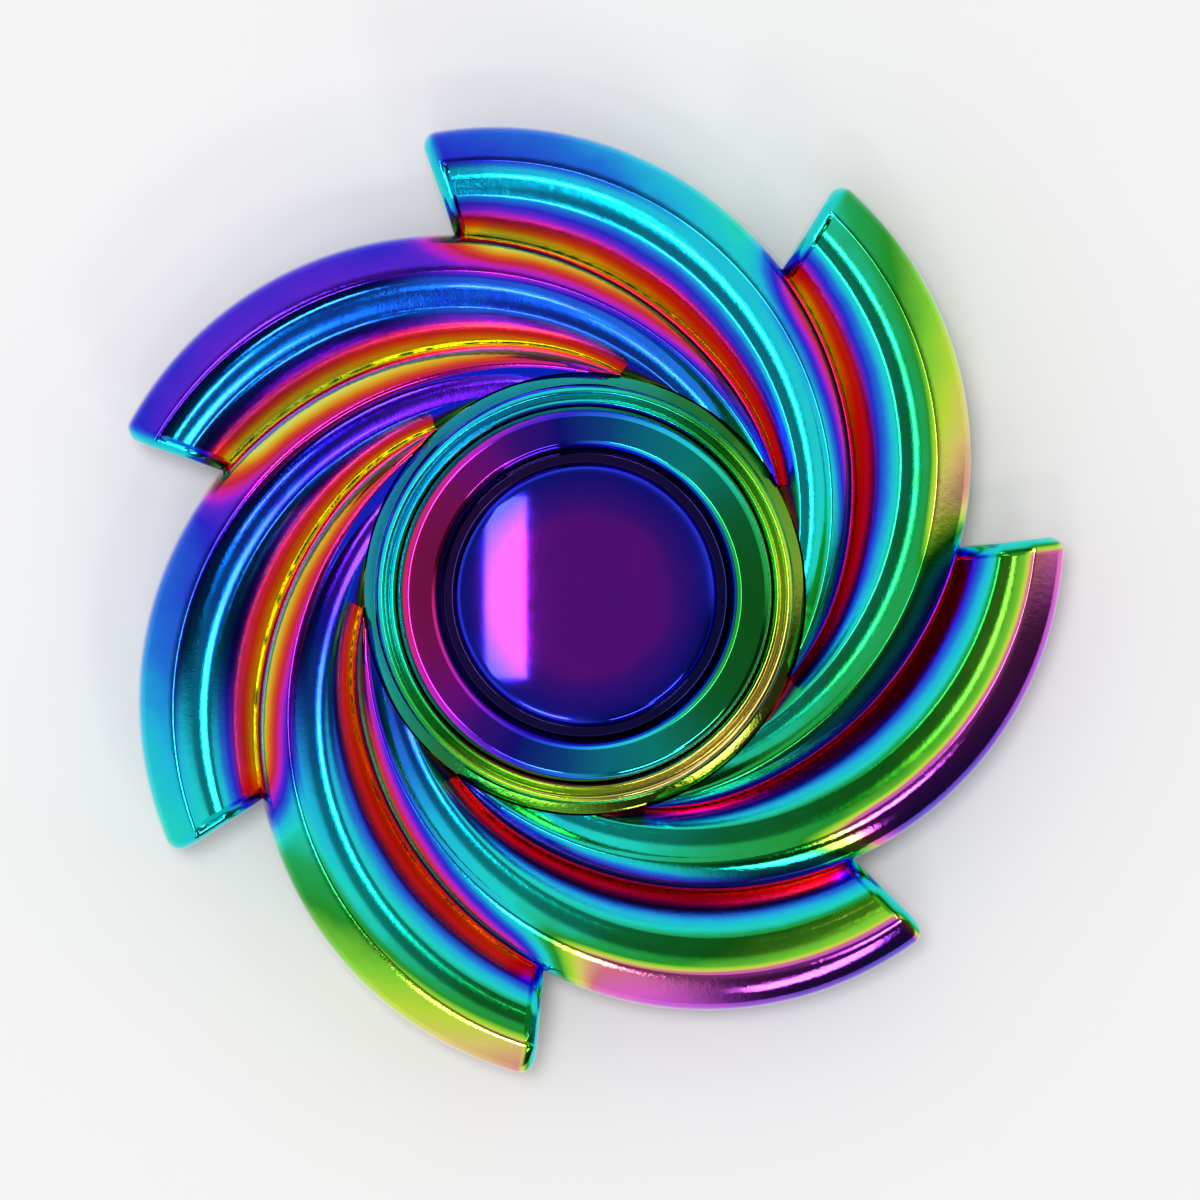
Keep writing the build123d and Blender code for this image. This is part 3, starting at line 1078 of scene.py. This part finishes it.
    def drop_hub_wall(self, body: bpy.types.Object) -> None:
        """Extrude the open edge round the hub down to the mid plane, as the blade roots' inner wall."""
        make_active(body)
        bpy.ops.object.mode_set(mode="EDIT")
        mesh = bmesh.from_edit_mesh(body.data)
        limit = (self.valley_radius + 0.45) * MM
        for edge in mesh.edges:
            inner = all(vertex.co.xy.length < limit and vertex.co.z > MM for vertex in edge.verts)
            edge.select = inner and edge.is_boundary
        for vertex in mesh.verts:
            vertex.select = any(edge.select for edge in vertex.link_edges)
        bmesh.update_edit_mesh(body.data)
        bpy.ops.mesh.select_mode(type="EDGE")
        bpy.ops.mesh.extrude_edges_move()
        bpy.ops.transform.resize(value=(1, 1, 0), center_override=(0, 0, 0))
        bpy.ops.object.mode_set(mode="OBJECT")

    def hub_profile(self) -> list[Point]:
        """Closed half section of the hub ring, from the bearing seat outwards."""
        groove_start = self.groove_radius - self.groove_width / 2
        groove_end = self.groove_radius + self.groove_width / 2
        groove_floor = self.rim_height - self.groove_depth
        steps = np.linspace(0, 1, 13)
        inner_bead = arc_through(
            (self.rim_inner, self.bead_foot),
            ((self.rim_inner + groove_start) / 2, self.rim_height),
            (groove_start, groove_floor),
            steps,
        )
        outer_bead = arc_through(
            (groove_end, groove_floor),
            ((groove_end + self.rim_outer) / 2, self.rim_height),
            (self.rim_outer, self.bead_foot),
            steps,
        )
        valley = self.valley_radius
        height = self.valley_height
        upper = [(self.rim_inner, self.web_height)]
        upper += [tuple(point) for point in inner_bead]
        upper += [tuple(point) for point in outer_bead]
        foot = self.rim_foot_round
        upper += [(self.rim_outer, height + foot), (self.rim_outer + foot / 3, height + foot / 3)]
        upper += [(self.rim_outer + foot, height)]
        upper += [(valley + out, height + up) for out, up in self.root_fall]
        lower = [(radius, -place) for radius, place in reversed(upper)]
        seat = [(self.lip_radius, -self.web_height), (self.lip_radius, self.seat_floor)]
        seat += [(self.seat_radius, self.seat_floor), (self.seat_radius, self.web_height)]
        return upper + lower + seat

    def hub(self) -> bpy.types.Object:
        """The hub ring with its two-bead rims, turned from its section."""
        ring = lathe(self.hub_profile(), "hub_ring")

        def film(radius: float, angle: float, height: float) -> float:
            """Film at a place on the hub."""
            middle = self.rim_inner + (self.rim_outer - self.rim_inner) / 2
            outward = (radius - middle) / (self.rim_outer - middle)
            if radius < self.rim_inner - 0.01 or abs(height) < self.bead_foot - 0.05:
                return self.film.valley(angle)
            return self.film.rim(angle, outward)

        paint(ring, film)
        count = len(ring.data.vertices)
        write_layer(ring, GRAIN, np.full(count, self.hub_grain))
        # Painted shade in the valley outside the rim.
        outside_rim = [vertex.co.xy.length > self.rim_outer * MM for vertex in ring.data.vertices]
        write_layer(ring, SHADE, self.valley_shade * np.array(outside_rim, dtype=float))
        return ring

    def build(self) -> bpy.types.Object:
        """Build and dress the whole body."""
        body = join([self.swirl(), self.hub()], "spinner_body")
        in_edit_mode(body, lambda: bpy.ops.mesh.normals_make_consistent(inside=False))
        make_active(body)
        bpy.ops.object.shade_smooth_by_angle(angle=math.radians(38))
        dress(body, CAST_FILM.make())
        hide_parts("blade_body")
        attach(body, "spinner")
        return body


# ---------------------------------------------------------------- finger caps
@dataclass
class FingerCap:
    """A turned finger cap: domed button in a moat, flat land, and the stem through the bearing.

    Sizes are in millimetres. The side is 1 for the upper cap and -1 for the lower one.
    """

    name: str
    node: str
    side: int
    stem: tuple[Point, ...]
    radius: float = 11.40
    land_height: float = 5.80
    edge_round: float = 0.50
    land_inner: float = 9.40
    bevel_round: float = 0.35
    moat_outer: float = 9.15
    bevel_drop: float = 0.35
    moat_taper: float = 0.40
    moat_depth: float = 1.45
    dome_radius: float = 8.10
    dome_drop: float = 0.75
    dome_sink: float = 0.06
    dome_round: float = 0.45
    dome_steps: int = 30
    dome_round_steps: int = 12
    moat_floor_round: float = 0.12
    moat_edge_round: float = 0.15
    skirt_round: float = 0.15
    boss_round: float = 0.10
    edge_film_drop: float = 0.10
    edge_film_reach: float = 0.5
    # Painted shade in the moat round the button.
    recess_shade: float = 0.8
    recess_depths: tuple[float, float] = (0.45, 1.10)
    recess_margins: tuple[float, float] = (0.15, 0.02)
    dome_film_depth: float = 0.95
    underside: float = 3.181
    boss_radius: float = 3.90
    boss_end: float = 2.381
    film: FilmPattern = field(default_factory=FilmPattern)

    def dome(self) -> list[Point]:
        """The button's crown from the axis to the top of its side wall, with its rounded edge."""
        apex = self.land_height - self.dome_sink
        ball = (self.dome_radius**2 + self.dome_drop**2) / (2 * self.dome_drop)
        centre_height = apex - ball
        corner = self.dome_radius - self.dome_round
        corner_height = centre_height + math.sqrt((ball - self.dome_round) ** 2 - corner**2)
        lean = math.atan2(corner, corner_height - centre_height)
        crown = [
            (ball * math.sin(a), centre_height + ball * math.cos(a))
            for a in np.linspace(0, lean, self.dome_steps)
        ]
        turns = np.linspace(lean, math.pi / 2, self.dome_round_steps)[1:]
        edge = [
            (corner + self.dome_round * math.sin(a), corner_height + self.dome_round * math.cos(a))
            for a in turns
        ]
        return crown + edge

    def profile(self) -> list[Point]:
        """Closed half section of the cap, facing up."""
        floor = self.land_height - self.moat_depth
        outer = [
            (self.dome_radius, floor, self.moat_floor_round),
            (self.moat_outer - self.moat_taper, floor, self.moat_floor_round),
            (self.moat_outer, self.land_height - self.bevel_drop, self.moat_edge_round),
            (self.land_inner, self.land_height, self.bevel_round),
            (self.radius, self.land_height, self.edge_round),
            (self.radius, self.underside, self.skirt_round),
            (self.boss_radius, self.underside, 0.0),
            (self.boss_radius, self.boss_end, self.boss_round),
        ]
        corners = [(*self.dome()[-1], 0.0), *outer, *((r, z, 0.0) for r, z in self.stem)]
        return self.dome()[:-1] + rounded(corners)

    def painted_shade_amount(self, place: Vector) -> float:
        """Painted shade on the moat's walls and floor at a place on the cap, darker deeper down."""
        radius = place.xy.length
        inner, outer = self.recess_margins
        if not self.dome_radius - inner < radius < self.moat_outer + outer:
            return 0.0
        return self.recess_shade * smooth_step(self.land_height - abs(place.z), *self.recess_depths)

    def build(self) -> bpy.types.Object:
        """Build and dress the cap."""
        points = [(radius, self.side * height) for radius, height in self.profile()]
        cap = lathe(points, self.name)
        dome_foot = self.land_height - self.dome_film_depth

        def film(radius: float, angle: float, height: float) -> float:
            """Film at a place on the cap."""
            if radius > self.moat_outer:
                fall = max(0.0, self.land_height - abs(height))
                drop = self.edge_film_drop * smooth_step(fall, 0.0, self.edge_film_reach)
                return self.film.cap_land(angle) - drop
            if radius > self.dome_radius - 0.01 or abs(height) < dome_foot:
                return self.film.cap_moat(angle)
            return self.film.cap_dome(radius, self.dome_radius)

        paint(cap, film)
        write_layer(cap, GRAIN, np.zeros(len(cap.data.vertices)))
        # Painted shade in the moat.
        write_layer(cap, SHADE, [self.painted_shade_amount(vertex.co / MM) for vertex in cap.data.vertices])
        in_edit_mode(cap, lambda: bpy.ops.mesh.normals_make_consistent(inside=False))
        make_active(cap)
        bpy.ops.object.shade_smooth_by_angle(angle=math.radians(32))
        dress(cap, TURNED_FILM.make())
        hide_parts(self.node)
        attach(cap, "finger_grip")
        return cap


# ---------------------------------------------------------------- ball bearing
@dataclass
class BallBearing:
    """The shielded bearing: the CAD pieces, dressed as steel."""

    nodes: tuple[tuple[str, Steel], ...] = (
        ("bearing_outer_race", RACE_STEEL),
        ("bearing_inner_race", RACE_STEEL),
        ("cage_upper_half", CAGE_STEEL),
        ("cage_lower_half", CAGE_STEEL),
        ("upper_shield", SHIELD_STEEL),
        ("lower_shield", SHIELD_STEEL),
        ("upper_snap_wire", SHIELD_STEEL),
        ("lower_snap_wire", SHIELD_STEEL),
    )
    balls: int = 10

    def build(self) -> int:
        """Dress the bearing's pieces.

        Returns:
            How many pieces were dressed.
        """
        steels = (RACE_STEEL, CAGE_STEEL, SHIELD_STEEL, BALL_STEEL)
        finishes = {steel.name: steel.make() for steel in steels}
        dressed = [(bpy.data.objects[name], steel) for name, steel in self.nodes]
        dressed += [(bpy.data.objects[f"ball_{i + 1:02d}"], BALL_STEEL) for i in range(self.balls)]
        for piece, steel in dressed:
            dress(piece, finishes[steel.name])
        return len(dressed)


# ---------------------------------------------------------------- studio
@dataclass(frozen=True)
class Panel:
    """A soft light panel, aimed at the part.

    Angles are in degrees and lengths in metres. The depth is measured towards the zenith and the width
    across it. The radiance is in watts per square metre and steradian.
    """

    name: str
    azimuth: float
    from_zenith: float
    distance: float
    depth: float
    width: float
    radiance: float
    mirrored: bool = True

    def build(self) -> bpy.types.Object:
        """Hang the panel; one that isn't mirrored lights the table but shows in no reflection."""
        lean = math.radians(self.from_zenith)
        turn = math.radians(self.azimuth)
        way = Vector((math.sin(lean) * math.cos(turn), math.sin(lean) * math.sin(turn), math.cos(lean)))
        start_fresh()
        bpy.ops.object.light_add(type="AREA", location=way * self.distance)
        panel = bpy.context.object
        panel.name = self.name
        panel.rotation_euler = (0, lean, turn)
        panel.data.shape = "RECTANGLE"
        panel.data.size = self.depth
        panel.data.size_y = self.width
        panel.data.energy = self.radiance * math.pi * self.width * self.depth
        panel.visible_glossy = self.mirrored
        return panel


@dataclass
class Studio:
    """Pale table, surroundings for the mirror finish, light panels and the camera.

    Distances are in metres, the aim and the table's height in millimetres, and angles in degrees.
    """

    camera_distance: float = 0.450
    camera_lean: float = 2.8
    camera_azimuth: float = 150.8
    aim: Triple = (1.02, -0.40, 1.5)
    field_width: float = 0.0744
    sensor: float = 36.0
    room_light: float = 0.80
    screen_light: float = 0.05
    camera_shade: float = 0.21
    shade_edge: float = 25.0
    shade_blur: float = 5.0
    screen_azimuth: float = -45.0
    screen_reach: tuple[float, float] = (30.0, 50.0)
    screen_foot: tuple[float, float] = (84.0, 98.0)
    table_height: float = -5.8
    table_size: float = 3.0
    table_colour: str = "E2E2E2"
    table_dark_share: float = 0.985
    table_grain: float = 30.0
    table_roughness: float = 0.9
    table_gloss: float = 0.1
    panels: tuple[Panel, ...] = (
        Panel("table_light", 135.0, 8.0, 0.90, 0.15, 0.15, 43.0, False),
        Panel("left_strip", 180.0, 11.5, 0.90, 0.11, 0.50, 7.0),
        Panel("low_panel", -104.0, 27.0, 0.90, 0.07, 0.16, 12.0),
        Panel("corner_panel", -48.0, 30.0, 0.90, 0.07, 0.14, 12.0),
        Panel("right_panel", -66.0, 50.0, 0.90, 0.12, 0.25, 8.0),
    )

    def surroundings(self) -> None:
        """A bright room with a dark camera overhead and a dark screen on the lower right."""
        world = bpy.data.worlds.new("studio_room")
        bpy.context.scene.world = world
        world.use_nodes = True
        tree = world.node_tree
        tree.nodes.clear()
        output = tree.nodes.new("ShaderNodeOutputWorld")
        light = tree.nodes.new("ShaderNodeBackground")
        tree.links.new(light.outputs["Background"], output.inputs["Surface"])
        place = tree.nodes.new("ShaderNodeTexCoord")
        split = tree.nodes.new("ShaderNodeSeparateXYZ")
        tree.links.new(place.outputs["Generated"], split.inputs["Vector"])

        def op(operation: str, *values: object) -> bpy.types.NodeSocket:
            """One math step."""
            made = tree.nodes.new("ShaderNodeMath")
            made.operation = operation
            for socket, value in zip(made.inputs, values):
                if isinstance(value, bpy.types.NodeSocket):
                    tree.links.new(value, socket)
                else:
                    socket.default_value = value
            return made.outputs[0]

        def ramp(value: bpy.types.NodeSocket, low: float, high: float) -> bpy.types.NodeSocket:
            """A smooth 0 to 1 step between low and high."""
            made = tree.nodes.new("ShaderNodeMapRange")
            made.interpolation_type = "SMOOTHSTEP"
            made.inputs["From Min"].default_value = low
            made.inputs["From Max"].default_value = high
            tree.links.new(value, made.inputs["Value"])
            return made.outputs["Result"]

        zenith = op("ARCCOSINE", split.outputs["Z"])
        azimuth = op("ARCTAN2", split.outputs["Y"], split.outputs["X"])
        off_axis = op("ABSOLUTE", op("SUBTRACT", azimuth, math.radians(self.screen_azimuth)))
        beside = ramp(off_axis, *(math.radians(angle) for angle in self.screen_reach))
        below = ramp(zenith, *(math.radians(angle) for angle in self.screen_foot))
        past_screen = op("MAXIMUM", beside, below)
        shade_start = math.radians(self.shade_edge - self.shade_blur)
        shade_end = math.radians(self.shade_edge + self.shade_blur)
        overhead = ramp(zenith, shade_start, shade_end)
        lit = op("MULTIPLY_ADD", past_screen, self.room_light - self.screen_light, self.screen_light)
        past_shade = op("MULTIPLY", overhead, op("SUBTRACT", lit, self.camera_shade))
        strength = op("ADD", past_shade, self.camera_shade)
        tree.links.new(strength, light.inputs["Strength"])
        light.inputs["Color"].default_value = (1.0, 1.0, 1.0, 1.0)

    def table(self) -> bpy.types.Object:
        """The pale table top."""
        start_fresh()
        height = self.table_height * MM
        bpy.ops.mesh.primitive_plane_add(size=self.table_size, location=(0, 0, height))
        top = bpy.context.object
        top.name = "table_top"
        sheet = NodeSheet("pale_table")
        ramp = sheet.node("ShaderNodeValToRGB")
        tone = linear(self.table_colour)
        ramp.color_ramp.elements[0].color = (*(self.table_dark_share * c for c in tone[:3]), 1.0)
        ramp.color_ramp.elements[1].color = tone
        sheet.link(sheet.noise(self.table_grain), ramp.inputs["Fac"])
        sheet.link(ramp.outputs["Color"], sheet.shader.inputs["Base Color"])
        sheet.shader.inputs["Roughness"].default_value = self.table_roughness
        sheet.shader.inputs["Specular IOR Level"].default_value = self.table_gloss
        dress(top, sheet.material)
        return top

    def camera(self) -> bpy.types.Object:
        """The camera, almost straight above."""
        lean = math.radians(self.camera_lean)
        turn = math.radians(self.camera_azimuth)
        aim = Vector(self.aim) * MM
        way = Vector((math.sin(lean) * math.cos(turn), math.sin(lean) * math.sin(turn), math.cos(lean)))
        start_fresh()
        bpy.ops.object.camera_add(location=aim + way * self.camera_distance)
        camera = bpy.context.object
        camera.name = "studio_camera"
        across = Vector((0, 1, 0)).cross(way).normalized()
        turned = Matrix((across, way.cross(across), way)).transposed()
        camera.rotation_euler = turned.to_euler()
        camera.data.sensor_width = self.sensor
        camera.data.lens = self.sensor * self.camera_distance / self.field_width
        camera.data.clip_start = 0.01
        bpy.context.scene.camera = camera
        return camera

    def build(self) -> None:
        """Set up table, room, panels and camera."""
        self.surroundings()
        self.table()
        for panel in self.panels:
            panel.build()
        self.camera()
        bpy.context.scene.view_settings.view_transform = "Standard"


# Half sections of the caps' stems, from the bearing's bore inwards: the upper cap's ends in a plug and
# the lower cap's in the socket round it.
STEM_RADIUS = 3.163
SEAT_HEIGHT = 2.381
TOP_STEM: tuple[Point, ...] = (
    (STEM_RADIUS, SEAT_HEIGHT),
    (STEM_RADIUS, 1.581),
    (2.0, 1.581),
    (2.0, -2.531),
    (1.7, -2.831),
    (0.0, -2.831),
)
BOTTOM_STEM: tuple[Point, ...] = (
    (STEM_RADIUS, SEAT_HEIGHT),
    (STEM_RADIUS, -1.431),
    (2.33, -1.431),
    (2.03, -1.131),
    (2.03, 3.181),
    (0.0, 3.181),
)


def main() -> None:
    """Build every piece, dress it and set up the studio."""
    logging.basicConfig(level=logging.INFO, format="%(message)s")
    parts: tuple[tuple[str, Callable[[], object]], ...] = (
        ("spinner body", BladeBody().build),
        ("top cap", FingerCap("cap_above", "top_cap", 1, TOP_STEM).build),
        ("bottom cap", FingerCap("cap_below", "bottom_cap", -1, BOTTOM_STEM).build),
        ("ball bearing", BallBearing().build),
        ("studio", Studio().build),
    )
    for name, build in parts:
        made = build()
        if isinstance(made, bpy.types.Object):
            LOG.info("%s: %d faces", name, len(made.data.polygons))
        else:
            LOG.info("%s: %s", name, made)


if __name__ == "__main__":
    main()
